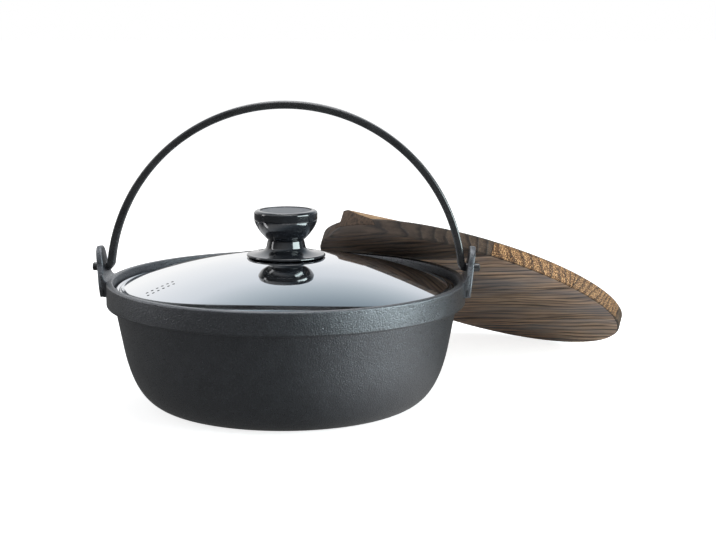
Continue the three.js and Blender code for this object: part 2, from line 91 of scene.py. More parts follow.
# Steel lid
LID_SHEET = 1
LID_CLEARANCE = 1.5
SEAT_GAP = 0.3
FLANGE_WIDTH = 5.5
DOME_RISE = 23.5
DOME_FULLNESS = 0.3
DOME_FILLET = 1.1
MIRROR_SPHERE = 330
MIRROR_RISE = 0.4
SEAT_FLAT = 29
SEAT_BLEND = 52
SLOPE_STEP = 0.01
SKIN_UPWARD = 0.5
BEAD_INSET = 1.1
BEAD_WIDTH = 1.6
BEAD_HEIGHT = 0.7
HEM_WIDTH = 2.6
HEM_HEIGHT = 1
STEAM_HOLE_RADIUS = 1
STEAM_HOLE_PITCH = 3.9
STEAM_HOLES_PER_ROW = 6
STEAM_ROW_SPACING = 5.8
STEAM_STAGGER = 1.8
STEAM_INSET = 18
STEAM_DIRECTION = math.radians(-148.5)

# Knob
KNOB_GAP = 0.3
COLLAR_RADIUS = 28.5
COLLAR_EDGE = 2.2
COLLAR_HOLLOW = 1.1
COLLAR_NECK_RADIUS = 14.2
COLLAR_NECK_RISE = 5
COLLAR_TOP_RADIUS = 13.2
COLLAR_HEIGHT = 11.3
KNOB_FOOT_RADIUS = 13
KNOB_FOOT_RUN = 3.4
KNOB_FOOT_RISE = 3
KNOB_RADIUS = 22.9
KNOB_BOWL_HEIGHT = 14.8
KNOB_BRIM_DROP = 6.4
KNOB_BRIM_INSET = 1.7
KNOB_GROOVE = 0.4
KNOB_BAND_HEIGHT = 4.6
KNOB_CROWN_HEIGHT = 2.2
KNOB_CROWN_INSET = 3.2
CAP_RADIUS = 18.4
CAP_THICKNESS = 1.2
CAP_SUNK = 0.4
CAP_EDGE = 0.3
SCREW_RADIUS = 2.5
SCREW_CLEARANCE = 0.4
INSERT_RADIUS = 5
INSERT_LENGTH = 15

# Plank lid
WOOD_CLEARANCE = 0.7
WOOD_THICKNESS = 12
WOOD_CHAMFER = 1.2
WOOD_EDGE = 0.4
WOOD_EDGE_STEPS = 3
WOOD_SHARP_ANGLE = math.radians(25)
WOOD_EASE = 0.3
PLANK_WIDTH = 67
PLANK_GAP = 0.3
DOWEL_COUNT = 6
BATTEN_WIDTH = 40
BATTEN_PROUD = 8.5
BATTEN_HOUSING = 5
BATTEN_FLARE = 6
BATTEN_NOSE = 7.3
BEVEL_TILT = math.radians(23)
BEVEL_TURN = math.radians(130)
LEAN_ANGLE = math.radians(28.2)
LEAN_DIRECTION = math.radians(54.7)
LEAN_SHIFT = 33.3
GRAIN_ANGLE = math.radians(70)

# Fineness of the meshes
TURN_STEPS = 256
ARCH_STEPS = 170
KNOB_STEPS = 128
HOLE_STEPS = 24
CURVE_STEPS = 12
FINE_CURVE_STEPS = 40
SHARP_ANGLE = math.radians(38)

# Places that more than one piece uses
RIM_INNER = RIM_RADIUS - RIM_WALL
BAND_BOTTOM = POT_HEIGHT - BAND_HEIGHT
BODY_RADIUS = RIM_RADIUS - BAND_STEP
SHOULDER_RADIUS = BODY_RADIUS - WALL_TAPER
SEAT_HEIGHT = POT_HEIGHT - SEAT_DEPTH
SEAT_INNER = RIM_INNER - SEAT_WIDTH
PIVOT_HEIGHT = POT_HEIGHT + PIVOT_RISE
EAR_FOOT_HEIGHT = POT_HEIGHT - EAR_DROP
LID_RADIUS = RIM_INNER - LID_CLEARANCE
DOME_RADIUS = LID_RADIUS - FLANGE_WIDTH
FLANGE_BOTTOM = SEAT_HEIGHT + SEAT_GAP
FLANGE_TOP = FLANGE_BOTTOM + LID_SHEET
LID_APEX = FLANGE_TOP + DOME_RISE
SCREW_HOLE = SCREW_RADIUS + SCREW_CLEARANCE
KNOB_FOOT = LID_APEX + COLLAR_HEIGHT + KNOB_GAP
KNOB_BOWL_TOP = KNOB_FOOT + KNOB_BOWL_HEIGHT
KNOB_BAND_TOP = KNOB_BOWL_TOP + KNOB_BAND_HEIGHT
KNOB_TOP = KNOB_BAND_TOP + KNOB_CROWN_HEIGHT
CAP_BOTTOM = KNOB_TOP - CAP_SUNK - CAP_THICKNESS
WOOD_RADIUS = RIM_INNER - WOOD_CLEARANCE
WOOD_TOP = WOOD_THICKNESS + BATTEN_PROUD
PLANK_EDGES = [-WOOD_RADIUS, -PLANK_WIDTH, 0, PLANK_WIDTH, WOOD_RADIUS]
BATTEN_SLOPE = Vector((
    math.sin(BEVEL_TILT) * math.cos(BEVEL_TURN),
    math.sin(BEVEL_TILT) * math.sin(BEVEL_TURN),
    math.cos(BEVEL_TILT),
))

# The photograph's camera, found from the pot's rim and wall: its place in metres, its lens in millimetres
CAMERA_PLACE = (0.0703, -1.2981, 0.3199)
CAMERA_TILT = math.radians(90 - 9.69)
CAMERA_TURN = math.radians(0.8)
CAMERA_LENS = 91.2
CAMERA_SENSOR = 36

# Kinds of pattern in a material: a noise in features per metre, and a relief with its depth in metres
Noise = namedtuple("Noise", "scale detail roughness", defaults=(2, 0.5))
Relief = namedtuple("Relief", "depth strength")
NOISE_SPAN = (0.3, 0.7)
FULL_SPAN = (0, 1)
RAMP_MIDDLE = 0.5

# Looks of the cast iron. Shades are the stops of a colour ramp, here and below.
IRON_SHADER = {
    "IOR": 1.64,
    "Specular IOR Level": 1.0,
    "Specular Tint": (0.88, 0.92, 1.0, 1),
    "Coat Weight": 0.5,
    "Coat Roughness": 0.36,
}
IRON_GRAIN = Noise(1000, 3, 0.6)
IRON_GRAIN_SHARE = 0.6
IRON_GRAIN_RELIEF = Relief(0.0004, 1.0)
IRON_PITS = Noise(1500)
IRON_PIT_RELIEF = Relief(0.0001, 0.4)
IRON_WAVES = Noise(120, 3)
IRON_WAVE_RELIEF = Relief(0.0006, 0.5)
IRON_SHADES = [
    (0.3, (0.0066, 0.0070, 0.0085)),
    (0.5, (0.011, 0.0118, 0.0138)),
    (0.7, (0.020, 0.022, 0.0245)),
]
IRON_ROUGHNESS = (0.22, 0.46)

# Looks of the bail
BAIL_SHADER = {"Metallic": 0.3, "Specular IOR Level": 0.7, "Coat Weight": 0.6, "Coat Roughness": 0.18}
BAIL_SKIN = Noise(700, 3)
BAIL_SKIN_RELIEF = Relief(0.0001, 0.5)
BAIL_PATCHES = Noise(90)
BAIL_SHADES = [(0.3, (0.015, 0.015, 0.017)), (0.7, (0.032, 0.032, 0.034))]
BAIL_ROUGHNESS = (0.24, 0.38)

# Looks of the steel and the brass
METAL_SHADER = {"Metallic": 1.0}
MIRROR_SHADER = {"Metallic": 1.0, "Base Color": (0.88, 0.89, 0.90, 1)}
MIRROR_CLOUDS = Noise(26, 4, 0.6)
MIRROR_CLOUD_SPAN = (0.35, 0.7)
MIRROR_ROUGHNESS = (0.025, 0.075)
SCRATCHES = Noise(900, 3)
SCRATCH_STRETCH = (1, 1, 8)
STEEL_SHADES = [(0.3, (0.42, 0.43, 0.44)), (0.7, (0.58, 0.58, 0.58))]
STEEL_ROUGHNESS = (0.22, 0.38)
TARNISH = Noise(400, 3)
BRASS_SHADES = [(0.3, (0.45, 0.30, 0.09)), (0.7, (0.60, 0.43, 0.16))]
BRASS_ROUGHNESS = (0.25, 0.45)

# Looks of the knob and its cap
GRIP_SHADER = {"Specular IOR Level": 0.6, "Coat Weight": 0.45, "Coat Roughness": 0.06}
GRIP_PEEL = Noise(300)
GRIP_PEEL_RELIEF = Relief(0.00004, 0.4)
GRIP_DUST = Noise(1800)
GRIP_SHADES = [(0.4, (0.010, 0.011, 0.014)), (0.75, (0.018, 0.020, 0.024))]
GRIP_ROUGHNESS = (0.08, 0.16)
CAP_SHADER = {"Metallic": 0.75}
CAP_LINES = Noise(2600)
CAP_LINE_RELIEF = Relief(0.00003, 0.5)
CAP_SHADES = [(0.3, (0.075, 0.083, 0.10)), (0.7, (0.13, 0.143, 0.165))]
CAP_ROUGHNESS = (0.30, 0.42)

# Looks of the planks: growth rings per metre and their wavering, then fibres, scorching and cut edges
CEDAR_SHADER = {"Specular IOR Level": 0.25}
CEDAR_ROUGHNESS = (0.75, 0.5)
RING_FREQUENCY = 170
RING_BEND = Noise(6)
RING_BEND_STRETCH = (1, 2.5, 2.5)
RING_BEND_REACH = 0.018
RING_WANDER = Noise(9, 3)
RING_WANDER_STRETCH = (1, 14, 14)
RING_WANDER_SPAN = (0.2, 0.8)
RING_WANDER_REACH = 0.22
RING_SHADES = [
    (0.0, (0, 0, 0)),
    (0.5, (0.22, 0.22, 0.22)),
    (0.85, (1, 1, 1)),
    (1.0, (0, 0, 0)),
]
RING_SHARE = 0.6
RING_RELIEF = Relief(0.0006, 0.6)
FIBRES = Noise(14, 4, 0.6)
FIBRE_STRETCH = (1, 16, 16)
FIBRE_SPAN = (0.38, 0.62)
FIBRE_SHARE = 0.4
FIBRE_RELIEF = Relief(0.0003, 0.5)
FACE_SPAN = (0.78, 0.95)
FACE_SHADES = [
    (0.12, (0.44, 0.30, 0.21)),
    (0.5, (0.235, 0.158, 0.115)),
    (0.85, (0.036, 0.026, 0.022)),
]
SCORCH = Noise(12, 3)
SCORCH_STRETCH = (1, 4, 4)
SCORCH_SPAN = (0.42, 0.68)
SCORCH_SHARE = 0.55
SCORCH_GREY = (0.16, 0.163, 0.18)
# The upper face is mixed toward this dark colour and the lower face is left painted lighter: the difference
# between the faces is painted light
TOP_FACE_SPAN = (0.5, 0.9)
TOP_FACE_SHARE = 0.6
TOP_FACE_COLOUR = (0.052, 0.036, 0.027, 1)
BURNT_SHADES = [(0.1, (0.092, 0.068, 0.054)), (0.75, (0.030, 0.024, 0.021))]
PORES = Noise(1300)
PORE_SPAN = (0.36, 0.6)
PORE_SHARE = 0.6
END_SPAN = (0.55, 0.8)
END_RING_SHARE = 0.34
END_SHADES = [
    (0.08, (0.70, 0.41, 0.19)),
    (0.28, (0.33, 0.165, 0.075)),
    (0.5, (0.15, 0.074, 0.037)),
    (0.8, (0.032, 0.018, 0.011)),
]

# Each plank's pattern shift, ring centre (millimetres across and up), lightness, partly painted light, and
# fresh wood on its ends
# Planks 1 to 3 are painted lighter to make up for the shade their underside sits in; plank 4 is painted
# darker as painted shade near the pot
PLANK_LOOKS = [
    {"seed": 0.31, "pith": (-210, -75), "tone_and_painted_light": 1.6, "fresh": 0.2},
    {"seed": 1.73, "pith": (-190, -60), "tone_and_painted_light": 1.3, "fresh": 0.75},
    {"seed": 2.57, "pith": (180, -80), "tone_and_painted_light": 1.4, "fresh": 0.95},
    {"seed": 3.89, "pith": (230, -60), "tone_and_painted_light": 0.34, "fresh": 0.1},
]

# Looks of the batten and the pins
BATTEN_LINES = Noise(14, 3, 0.55)
BATTEN_LINE_STRETCH = (30, 1, 30)
BATTEN_LINE_SHARE = 0.7
BATTEN_FIBRES = Noise(60, 3, 0.6)
BATTEN_FIBRE_STRETCH = (40, 1, 40)
BATTEN_RELIEF = Relief(0.0004, 0.5)
BATTEN_SHADES = [
    (0.3, (0.16, 0.105, 0.070)),
    (0.5, (0.090, 0.060, 0.042)),
    (0.7, (0.028, 0.020, 0.016)),
]
BATTEN_ROUGHNESS = (0.55, 0.75)
CUT_SPAN = (0.95, 0.985)
CUT_SHADES = [
    (0.3, (0.48, 0.32, 0.18)),
    (0.5, (0.33, 0.195, 0.095)),
    (0.7, (0.13, 0.07, 0.035)),
]

# Studio: the sky that reflections show by height, the dim room round the backdrop, and the light all round
SKY_SHADES = [
    (0.08, (1.0, 1.0, 1.0)),
    (0.30, (0.87, 0.89, 0.92)),
    (0.50, (0.70, 0.74, 0.79)),
    (0.62, (0.47, 0.53, 0.58)),
    (0.74, (0.26, 0.32, 0.37)),
    (0.86, (0.14, 0.16, 0.18)),
    (1.00, (0.06, 0.07, 0.08)),
]
SKY_SLANT = (0.42, 0, 1)
BACKDROP_SPAN = (0.25, 0.75)
ROOM_SPAN = (0.2, 0.45)
ROOM_LEVELS = (0.1, 1)
GLOW = {"Color": (0.96, 0.98, 1.0, 1), "Strength": 0.31}
WHITE = {"Color": (1, 1, 1, 1), "Strength": 1.0}

# Floor, and a painted pool of light that only reflections see: the place and the reach in metres, and the
# strength
# The painted pool of light puts a painted highlight on the iron
FLOOR_SIZE = 12.0
FLOOR_SHADER = {"Base Color": (0.8, 0.8, 0.8, 1), "Roughness": 1, "Specular IOR Level": 0}
FLOOR_GLOW = 0.8
FLOOR_SHEEN = 0.13
PAINTED_POOL_PLACE = (0.22, -0.13, 0)
PAINTED_POOL_REACH = 0.22
PAINTED_POOL_GLOW = 1.2

# Each lamp's place, target, width and height in metres, its power in watts and its colour
LAMPS = {
    "key": ((1.38, -0.52, 0.36), (0, 0, 0.06), (1.2, 0.6), 25, (0.86, 1, 1)),
    "left_fill": ((-1.4, -0.05, 0.5), (0, 0, 0.06), (0.3, 0.8), 3, (1, 1, 1)),
    "top": ((0.05, 0.05, 1.5), (0, 0, 0.1), (1.2, 0.7), 14, (1, 1, 1)),
}


# Meshes

def bezier(points, steps=CURVE_STEPS):
    """Points along a Bezier curve of any degree, both ends included."""
    found = []
    for step in range(steps + 1):
        share = step / steps
        row = [Vector(point) for point in points]
        while len(row) > 1:
            row = [a.lerp(b, share) for a, b in zip(row, row[1:])]
        found.append(tuple(row[0]))
    return found


def spread(start, end, steps):
    """Evenly spaced values from start to end, both included."""
    return [start + (end - start) * step / steps for step in range(steps + 1)]


def smooth_step(share):
    """A share from 0 to 1 that starts and ends gently."""
    return share * share * (3 - 2 * share)


def mesh_of(name, points, faces):
    """A mesh from points in millimetres, with its faces turned outward."""
    mesh = bpy.data.meshes.new(name)
    mesh.from_pydata([Vector(point) * MM for point in points], [], faces)
    shape = bmesh.new()
    shape.from_mesh(mesh)
    bmesh.ops.recalc_face_normals(shape, faces=shape.faces)
    shape.to_mesh(mesh)
    shape.free()
    return mesh


def turned(name, profile, steps):
    """A solid of revolution about +Z from radius and height pairs. A closed loop repeats its first point."""
    looped = profile[0] == profile[-1]
    rows = profile[:-1] if looped else profile
    points = []
    rings = []
    for radius, height in rows:
        first = len(points)
        if radius == 0:
            points.append((0, 0, height))
            rings.append([first] * steps)
            continue
        for step in range(steps):
            angle = 2 * math.pi * step / steps
            points.append((radius * math.cos(angle), radius * math.sin(angle), height))
        rings.append(list(range(first, first + steps)))
    faces = []
    pairs = list(zip(rings, rings[1:]))
    if looped:
        pairs.append((rings[-1], rings[0]))
    for low, high in pairs:
        for step in range(steps):
            after = (step + 1) % steps
            corners = [low[step], low[after], high[after], high[step]]
            faces.append(list(dict.fromkeys(corners)))
    return mesh_of(name, points, faces)


def drill(radius, length):
    """A round tool that stands on the origin."""
    return turned("drill", [(0, 0), (radius, 0), (radius, length), (0, length)], HOLE_STEPS)


def pushed(name, outline, low, high, axes):
    """An outline in two axes pushed along the third, from low to high. axes names them, such as 'YZX'."""
    order = ["XYZ".index(axis) for axis in axes]
    points = []
    for depth in (low, high):
        for across, up in outline:
            point = [0, 0, 0]
            for place, value in zip(order, (across, up, depth)):
                point[place] = value
            points.append(point)
    count = len(outline)
    sides = [[i, (i + 1) % count, count + (i + 1) % count, count + i] for i in range(count)]
    ends = [list(range(count)), list(range(2 * count - 1, count - 1, -1))]
    return mesh_of(name, points, sides + ends)


def together(name, meshes):
    """Several meshes as one."""
    shape = bmesh.new()
    for mesh in meshes:
        shape.from_mesh(mesh)
    whole = bpy.data.meshes.new(name)
    shape.to_mesh(whole)
    shape.free()
    return whole


def moved(mesh, matrix):
    """A copy of a mesh under a matrix whose translation is in metres."""
    copy = mesh.copy()
    copy.transform(matrix)
    return copy


def shaped(mesh, modifiers):
    """The mesh after a list of modifiers, each a type and its settings."""
    holder = bpy.data.objects.new("shaping", mesh)
    bpy.context.scene.collection.objects.link(holder)
    for kind, settings in modifiers:
        modifier = holder.modifiers.new(kind, kind)
        for key, value in settings.items():
            setattr(modifier, key, value)
    graph = bpy.context.evaluated_depsgraph_get()
    result = bpy.data.meshes.new_from_object(holder.evaluated_get(graph))
    result.name = mesh.name
    bpy.data.objects.remove(holder)
    return result


def bevel(width, steps, angle):
    """A modifier that rounds the edges that turn by more than an angle."""
    return ("BEVEL", {
        "width": width * MM,
        "segments": steps,
        "limit_method": "ANGLE",
        "angle_limit": angle,
    })


def combined(mesh, tool, operation):
    """The mesh after a tool mesh is cut away (DIFFERENCE), or only what lies inside it (INTERSECT)."""
    cutter = bpy.data.objects.new("cutter", tool)
    bpy.context.scene.collection.objects.link(cutter)
    result = shaped(mesh, [("BOOLEAN", {"operation": operation, "solver": "EXACT", "object": cutter})])
    bpy.data.objects.remove(cutter)
    return result


def sliced(mesh, point, normal):
    """The mesh without what lies on the normal's side of a plane."""
    shape = bmesh.new()
    shape.from_mesh(mesh)
    parts = [*shape.verts, *shape.edges, *shape.faces]
    cut = bmesh.ops.bisect_plane(shape, geom=parts, plane_co=point, plane_no=normal, clear_outer=True)
    rim = [part for part in cut["geom_cut"] if isinstance(part, bmesh.types.BMEdge)]
    bmesh.ops.contextual_create(shape, geom=rim)
    shape.to_mesh(mesh)
    shape.free()
    return mesh


def smoothed(mesh):
    """Smooth shading with its sharp edges kept."""
    mesh.shade_smooth()
    mesh.set_sharp_from_angle(angle=SHARP_ANGLE)
    return mesh


def placed(name, mesh, material, body, nodes):
    """An object that stands for CAD nodes on one of the bodies."""
    mesh.name = name
    mesh.materials.clear()
    mesh.materials.append(material)
    made = bpy.data.objects.new(name, mesh)
    bpy.context.scene.collection.objects.link(made)
    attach(made, body)
    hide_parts(*nodes)
    return made


# Shapes

def pot_wall():
    """The revolved wall: a thicker rim band, a ledge inside the rim, and a wide curve into the base."""
    taper = math.atan2(WALL_TAPER, BAND_BOTTOM - SHOULDER_HEIGHT)
    inner_share = (SHOULDER_HEIGHT - FLOOR_THICKNESS) / SHOULDER_HEIGHT

    def side(radius, rise):
        return (radius - rise * math.sin(taper), SHOULDER_HEIGHT - rise * math.cos(taper))

    outer_corner = bezier([
        (BASE_RADIUS, 0),
        (BASE_RADIUS + CORNER_RUN, 0),
        side(SHOULDER_RADIUS, CORNER_RISE),
        (SHOULDER_RADIUS, SHOULDER_HEIGHT),
    ], FINE_CURVE_STEPS)
    inner_shoulder = SHOULDER_RADIUS - WALL
    inner_base = BASE_RADIUS - WALL / 2
    inner_corner = bezier([
        (inner_shoulder, SHOULDER_HEIGHT),
        side(inner_shoulder, CORNER_RISE * inner_share),
        (inner_base + CORNER_RUN, FLOOR_THICKNESS),
        (inner_base, FLOOR_THICKNESS),
    ], FINE_CURVE_STEPS)
    fillet_drop = BAND_FILLET * math.tan(taper)
    return turned("pot_wall", [
        (0, 0),
        *outer_corner,
        *bezier([
            (BODY_RADIUS - fillet_drop, BAND_BOTTOM - BAND_FILLET),
            (BODY_RADIUS, BAND_BOTTOM),
            (BODY_RADIUS + BAND_FILLET, BAND_BOTTOM),
        ]),
        *bezier([
            (RIM_RADIUS - RIM_ROUNDING, BAND_BOTTOM),
            (RIM_RADIUS, BAND_BOTTOM),
            (RIM_RADIUS, BAND_BOTTOM + RIM_ROUNDING),
        ]),
        *bezier([
            (RIM_RADIUS, POT_HEIGHT - RIM_ROUNDING),
            (RIM_RADIUS, POT_HEIGHT),
            (RIM_RADIUS - RIM_ROUNDING, POT_HEIGHT),
        ]),
        *bezier([
            (RIM_INNER + RIM_ROUNDING, POT_HEIGHT),
            (RIM_INNER, POT_HEIGHT),
            (RIM_INNER, POT_HEIGHT - RIM_ROUNDING),
        ]),
        (RIM_INNER, SEAT_HEIGHT),
        (SEAT_INNER, SEAT_HEIGHT),
        *inner_corner,
        (0, FLOOR_THICKNESS),
    ], TURN_STEPS)


def ear_face(height):
    """Distance of an ear's outer face from the pot's axis."""
    return RIM_RADIUS + EAR_STANDOFF + (height - EAR_FOOT_HEIGHT) * math.tan(EAR_LEAN)


def ear_inner(height):
    """Distance of an ear's inner face from the pot's axis."""
    return ear_face(height) - EAR_THICKNESS / math.cos(EAR_LEAN)


def ear_tongue():
    """The leaning tongue of the ear at +X, with a round tip."""
    tip = EAR_TIP_WIDTH / 2
    foot_half = EAR_FOOT_WIDTH / 2
    length = (EAR_DROP + EAR_RISE) / math.cos(EAR_LEAN)
    rim_line = EAR_DROP / math.cos(EAR_LEAN)
    shoulder = bezier([(foot_half, rim_line / 2), (foot_half, rim_line), (tip, length - tip)])
    crown = [
        (tip * math.cos(angle), length - tip + tip * math.sin(angle))
        for angle in spread(0, math.pi, FINE_CURVE_STEPS)
    ]
    outline = [
        (-foot_half, 0),
        (foot_half, 0),
        *shoulder,
        *crown[1:-1],
        *[(-across, up) for across, up in reversed(shoulder)],
    ]
    tongue = pushed("tongue", outline, -EAR_THICKNESS, 0, "YZX")
    tongue.transform(Matrix.Rotation(EAR_LEAN, 4, "Y"))
    tongue.transform(Matrix.Translation((ear_face(EAR_FOOT_HEIGHT) * MM, 0, EAR_FOOT_HEIGHT * MM)))
    return tongue


def ear_foot():
    """The filleted foot that joins the tongue to the rim."""
    foot_half = EAR_FOOT_WIDTH / 2
    inside = RIM_INNER + RIM_ROUNDING
    fillet_top = POT_HEIGHT + EAR_FILLET
    outline = [
        (inside, EAR_FOOT_HEIGHT),
        (ear_face(EAR_FOOT_HEIGHT) - EAR_THICKNESS / 2, EAR_FOOT_HEIGHT),
        (ear_face(fillet_top) - EAR_THICKNESS / 2, fillet_top),
        *bezier([
            (ear_inner(fillet_top), fillet_top),
            (ear_inner(POT_HEIGHT), POT_HEIGHT),
            (inside, POT_HEIGHT),
        ]),
    ]
    return pushed("foot", outline, -foot_half, foot_half, "XZY")


def ear_drill():
    """The hole for a peg of the bail, out through the ear."""
    tool = drill(PEG_RADIUS + PEG_CLEARANCE, ear_face(POT_HEIGHT + EAR_RISE))
    tool.transform(Matrix.Rotation(math.pi / 2, 4, "Y"))
    tool.transform(Matrix.Translation(((RIM_INNER - RIM_WALL) * MM, 0, PIVOT_HEIGHT * MM)))
    return tool


def ear():
    """The ear at +X: a tongue on a foot, with soft cast edges."""
    soft = bevel(EAR_EDGE, EAR_EDGE_STEPS, SHARP_ANGLE)
    tool = ear_drill()
    parts = [shaped(part, [soft]) for part in (ear_tongue(), ear_foot())]
    return together("ear", [combined(part, tool, "DIFFERENCE") for part in parts])


def pot():
    """The pot with its wall and both ears."""
    right = ear()
    left = moved(right, Matrix.Rotation(math.pi, 4, "Z"))
    return smoothed(together("cast_pot", [pot_wall(), right, left]))


def bail_stations():
    """Places along the bar, from peg to peg.

    Each is X and Z, the direction of the bar's outer side, how flat the bar is and its radius where round.
    """
    leg = ear_inner(PIVOT_HEIGHT) - BAIL_CLEARANCE - BAIL_THICKNESS / 2
    rise = BAIL_RISE - BAIL_THICKNESS / 2
    arch = (leg ** 2 + rise ** 2) / (2 * rise)
    centre = PIVOT_HEIGHT + rise - arch
    bend_height = PIVOT_HEIGHT + BEND_RADIUS
    bend_middle = math.sqrt((arch + BEND_RADIUS) ** 2 - (bend_height - centre) ** 2)
    start = math.atan2(bend_height - centre, bend_middle)
    peg_end = ear_face(PIVOT_HEIGHT) + PEG_PROUD
    half = [
        (peg_end, PIVOT_HEIGHT, -math.pi / 2, 0, PEG_RADIUS - PEG_CHAMFER),
        (peg_end - PEG_CHAMFER, PIVOT_HEIGHT, -math.pi / 2, 0, PEG_RADIUS),
    ]
    for share in spread(0, 1, FINE_CURVE_STEPS):
        angle = -math.pi / 2 - share * (math.pi / 2 - start)
        half.append((
            bend_middle + BEND_RADIUS * math.cos(angle),
            bend_height + BEND_RADIUS * math.sin(angle),
            angle,
            smooth_step(min(1, share / BEND_FLAT_SHARE)),
            PEG_RADIUS,
        ))
    stations = list(half)
    for angle in spread(start, math.pi - start, ARCH_STEPS)[1:-1]:
        x = arch * math.cos(angle)
        z = centre + arch * math.sin(angle)
        stations.append((x, z, angle + math.pi, 1, PEG_RADIUS))
    for x, z, angle, flat, radius in reversed(half):
        stations.append((-x, z, math.pi - angle, flat, radius))
    return stations


def bail():
    """One bar: round pegs through the ears, a bend at each, and a flat bar in an arch between them."""
    stations = bail_stations()
    ring = bar_section()
    count = len(ring)
    points = []
    for x, z, angle, flat, radius in stations:
        out = Vector((math.cos(angle), 0, math.sin(angle)))
        for (round_y, round_n), (flat_y, flat_n) in ring:
            across = round_y * radius * (1 - flat) + flat_y * flat
            normal = round_n * radius * (1 - flat) + flat_n * flat
            points.append(Vector((x, across, z)) + out * normal)
    faces = [list(range(count)), list(range(len(points) - count, len(points)))]
    for row in range(len(stations) - 1):
        for step in range(count):
            after = (step + 1) % count
            faces.append([
                row * count + step,
                row * count + after,
                (row + 1) * count + after,
                (row + 1) * count + step,
            ])
    return smoothed(mesh_of("bail", points, faces))


def bar_section():
    """Pairs of points round the bar: on a unit circle, and on the flat bar's rounded section."""
    pairs = []
    steps = CURVE_STEPS // 2
    corners = [(1, 1), (-1, 1), (-1, -1), (1, -1)]
    for quarter, (side_y, side_n) in enumerate(corners):
        middle_y = side_y * (BAIL_DEPTH / 2 - BAIL_EDGE)
        middle_n = side_n * (BAIL_THICKNESS / 2 - BAIL_EDGE)
        for step in range(steps + 1):
            angle = (quarter + step / steps) * math.pi / 2
            turn = (quarter + (step + 0.5) / (steps + 1)) * math.pi / 2
            flat_point = (middle_y + BAIL_EDGE * math.cos(angle), middle_n + BAIL_EDGE * math.sin(angle))
            pairs.append(((math.cos(turn), math.sin(turn)), flat_point))
    return pairs


def dome(radius):
    """Height of the dome's outer skin at a radius: a flat crown that steepens toward the flange."""
    share = (radius / DOME_RADIUS) ** 2
    return LID_APEX - DOME_RISE * share * (1 - DOME_FULLNESS + DOME_FULLNESS * share)


def mirror(radius):
    """Height of the polished skin: part of a sphere, slightly sunk where the knob sits."""
    sphere = LID_APEX + MIRROR_RISE - MIRROR_SPHERE + math.sqrt(MIRROR_SPHERE ** 2 - radius ** 2)
    share = min(1, max(0, (radius - SEAT_FLAT) / (SEAT_BLEND - SEAT_FLAT)))
    return dome(radius) + smooth_step(share) * (sphere - dome(radius))


def mirror_normal(point):
    """The outward direction of the polished skin over a place in metres."""
    radius = math.hypot(point.x, point.y) / MM
    slope = (mirror(radius - SLOPE_STEP) - mirror(radius + SLOPE_STEP)) / (2 * SLOPE_STEP)
    share = slope / (radius * MM)
    return Vector((point.x * share, point.y * share, 1)).normalized()


def lid():
    """A pressed dome with a bead and a rolled hem, drilled for the knob's screw and for steam."""
    bead = DOME_RADIUS + BEAD_INSET
    hem = LID_RADIUS - HEM_WIDTH
    skin = spread(SCREW_HOLE, DOME_RADIUS - DOME_FILLET, FINE_CURVE_STEPS)
    upper_fillet = bezier([
        (DOME_RADIUS + DOME_FILLET, FLANGE_TOP),
        (DOME_RADIUS, FLANGE_TOP),
        (DOME_RADIUS - DOME_FILLET, mirror(DOME_RADIUS - DOME_FILLET)),
    ])
    lower_fillet = [(radius, height - LID_SHEET) for radius, height in reversed(upper_fillet)]
    shell = turned("lid", [
        *[(radius, mirror(radius) - LID_SHEET) for radius in skin[:-1]],
        *lower_fillet,
        (LID_RADIUS - HEM_HEIGHT / 2, FLANGE_BOTTOM),
        *bezier([
            (LID_RADIUS, FLANGE_TOP - LID_SHEET / 2),
            (LID_RADIUS, FLANGE_TOP + HEM_HEIGHT),
            (LID_RADIUS - HEM_WIDTH / 2, FLANGE_TOP + HEM_HEIGHT),
        ]),
        (hem, FLANGE_TOP),
        *bezier([
            (bead + BEAD_WIDTH, FLANGE_TOP),
            (bead + BEAD_WIDTH / 2, FLANGE_TOP + 2 * BEAD_HEIGHT),
            (bead, FLANGE_TOP),
        ]),
        *upper_fillet,
        *[(radius, mirror(radius)) for radius in reversed(skin[:-1])],
        (SCREW_HOLE, mirror(SCREW_HOLE) - LID_SHEET),
    ], TURN_STEPS)
    return polished(smoothed(combined(shell, steam_drills(), "DIFFERENCE")))


def steam_drills():
    """Two radial rows of small drills near the front left of the dome, one row set further out."""
    tool = drill(STEAM_HOLE_RADIUS, DOME_RISE + LID_SHEET)
    turn = Matrix.Rotation(STEAM_DIRECTION, 4, "Z")
    middle = (STEAM_HOLES_PER_ROW - 1) / 2
    drills = []
    for row in (-1, 1):
        for step in range(STEAM_HOLES_PER_ROW):
            along = (step - middle) * STEAM_HOLE_PITCH + row * STEAM_STAGGER / 2
            radius = DOME_RADIUS - STEAM_INSET + along
            place = Vector((radius, row * STEAM_ROW_SPACING / 2, FLANGE_TOP)) * MM
            drills.append(moved(tool, turn @ Matrix.Translation(place)))
    return together("drills", drills)


def polished(mesh):
    """Gives the dome's skin the exact normals of its curve, so that the holes don't dent the mirror."""
    edge = (DOME_RADIUS - DOME_FILLET) * MM
    normals = [Vector(corner.vector) for corner in mesh.corner_normals]
    for face in mesh.polygons:
        if face.normal.z < SKIN_UPWARD:
            continue
        for corner in face.loop_indices:
            point = mesh.vertices[mesh.loops[corner].vertex_index].co
            if math.hypot(point.x, point.y) <= edge:
                normals[corner] = mirror_normal(point)
    mesh.normals_split_custom_set(normals)
    return mesh


